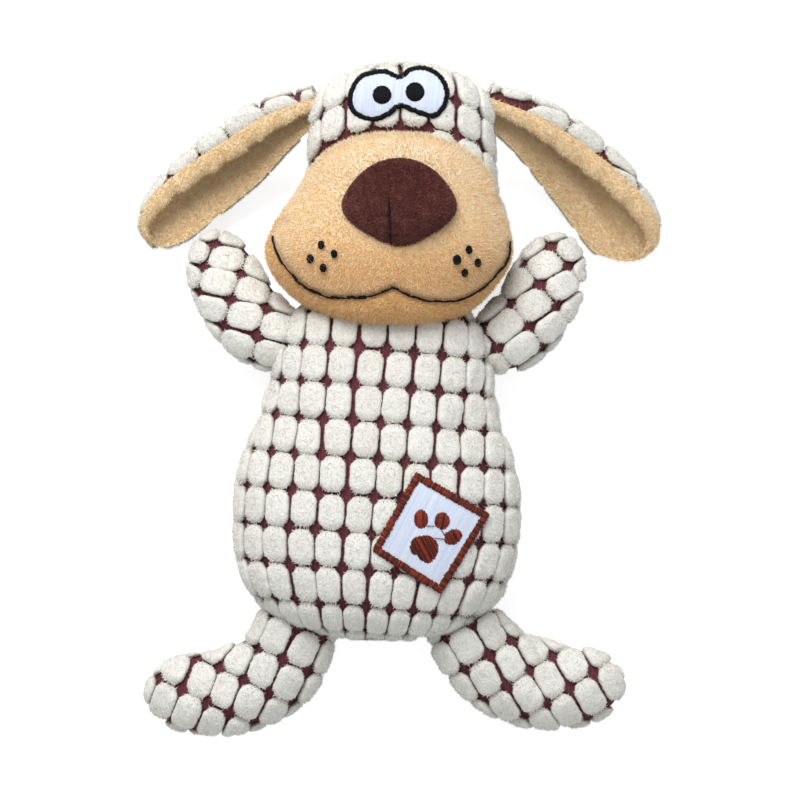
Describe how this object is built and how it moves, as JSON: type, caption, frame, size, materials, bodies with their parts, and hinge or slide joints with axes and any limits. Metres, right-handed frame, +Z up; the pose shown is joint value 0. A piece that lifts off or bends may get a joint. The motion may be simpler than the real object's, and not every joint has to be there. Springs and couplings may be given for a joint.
{
  "type": "plush dog toy",
  "caption": "Stuffed dimple-plush dog toy lying on its back, with a short-plush muzzle, an embroidered eye patch and belly patch, and a bellows squeaker inside.",
  "frame": {"origin": "on the floor under the middle of the toy's bounding box, with the toy lying on its back", "axes": "+Z up from the floor to the toy's front, +Y to the top of its head, +X to the viewer's right"},
  "size_m": [0.2472, 0.3166, 0.1082],
  "materials": {
    "dimple_plush": "cream dimple plush with brick-shaped tufts on a maroon-brown ground cloth",
    "short_plush": "tan short-pile plush",
    "nose_plush": "dark brown short-pile plush",
    "satin_white": "white satin-stitch embroidery",
    "satin_black": "black satin-stitch embroidery thread",
    "satin_rust": "rust-brown satin-stitch embroidery",
    "stuffing": "white polyester fibre filling",
    "squeaker_plastic": "blow-moulded soft translucent plastic"
  },
  "bodies": {
    "torso": {"body_front_panel": "dimple_plush", "body_back_panel": "dimple_plush", "body_stuffing_front": "stuffing", "body_stuffing_back": "stuffing", "squeaker_bellows": "squeaker_plastic", "squeaker_base": "squeaker_plastic", "belly_patch": "satin_white", "patch_border": "satin_rust", "paw_pad": "satin_rust", "paw_toe_1": "satin_rust", "paw_toe_2": "satin_rust", "paw_toe_3": "satin_rust"},
    "squeaker_top": {"squeaker_lid": "squeaker_plastic"},
    "head": {"head_front_panel": "dimple_plush", "head_back_panel": "dimple_plush", "head_stuffing": "stuffing", "muzzle_panel": "short_plush", "chin_panel": "short_plush", "muzzle_stuffing": "stuffing", "mouth_stitch": "satin_black", "whisker_dot_1": "satin_black", "whisker_dot_2": "satin_black", "whisker_dot_3": "satin_black", "whisker_dot_4": "satin_black", "whisker_dot_5": "satin_black", "whisker_dot_6": "satin_black", "whisker_dot_7": "satin_black", "whisker_dot_8": "satin_black", "nose_cover": "nose_plush", "nose_stuffing": "stuffing", "nose_centre_stitch": "satin_black", "eye_patch": "satin_white", "eye_outline": "satin_black", "pupil_left": "satin_black", "pupil_right": "satin_black"},
    "ear_left": {"ear_left_outer": "dimple_plush", "ear_left_lining": "short_plush"},
    "ear_right": {"ear_right_outer": "dimple_plush", "ear_right_lining": "short_plush"},
    "arm_left": {"arm_left_front_panel": "dimple_plush", "arm_left_back_panel": "dimple_plush", "arm_left_stuffing": "stuffing"},
    "arm_right": {"arm_right_front_panel": "dimple_plush", "arm_right_back_panel": "dimple_plush", "arm_right_stuffing": "stuffing"},
    "leg_left": {"leg_left_front_panel": "dimple_plush", "leg_left_back_panel": "dimple_plush", "leg_left_stuffing": "stuffing"},
    "leg_right": {"leg_right_front_panel": "dimple_plush", "leg_right_back_panel": "dimple_plush", "leg_right_stuffing": "stuffing"}
  },
  "joints": [
    {"name": "squeaker_press", "type": "slide", "parent": "torso", "child": "squeaker_top", "axis": [0, 0, -1], "range_m": [0, 0.008], "stiffness_N_per_m": 600, "deforming": ["squeaker_bellows"]},
    {"name": "neck_nod", "type": "hinge", "parent": "torso", "child": "head", "pos_m": [0.00133, 0.05229, 0.018], "axis": [1, 0, 0], "range_deg": [-10, 5], "stiffness_Nm_per_rad": 0.2},
    {"name": "ear_left_flap", "type": "hinge", "parent": "head", "child": "ear_left", "pos_m": [-0.04137, 0.13569, 0.038], "axis": [-0.5524, 0.8336, 0], "range_deg": [-15, 60]},
    {"name": "ear_right_flap", "type": "hinge", "parent": "head", "child": "ear_right", "pos_m": [0.04402, 0.13569, 0.038], "axis": [-0.5524, -0.8336, 0], "range_deg": [-15, 60]},
    {"name": "arm_left_swing", "type": "hinge", "parent": "torso", "child": "arm_left", "pos_m": [-0.05746, 0.02502, 0.038], "axis": [0.0995, 0.995, 0], "range_deg": [-25, 40], "stiffness_Nm_per_rad": 0.05},
    {"name": "arm_right_swing", "type": "hinge", "parent": "torso", "child": "arm_right", "pos_m": [0.0428, 0.02133, 0.038], "axis": [0.0995, -0.995, 0], "range_deg": [-25, 40], "stiffness_Nm_per_rad": 0.05},
    {"name": "leg_left_swing", "type": "hinge", "parent": "torso", "child": "leg_left", "pos_m": [-0.05099, -0.10462, 0.038], "axis": [-0.9404, 0.3401, 0], "range_deg": [-25, 40], "stiffness_Nm_per_rad": 0.08},
    {"name": "leg_right_swing", "type": "hinge", "parent": "torso", "child": "leg_right", "pos_m": [0.03213, -0.10535, 0.038], "axis": [-0.9117, -0.4108, 0], "range_deg": [-25, 40], "stiffness_Nm_per_rad": 0.08}
  ]
}
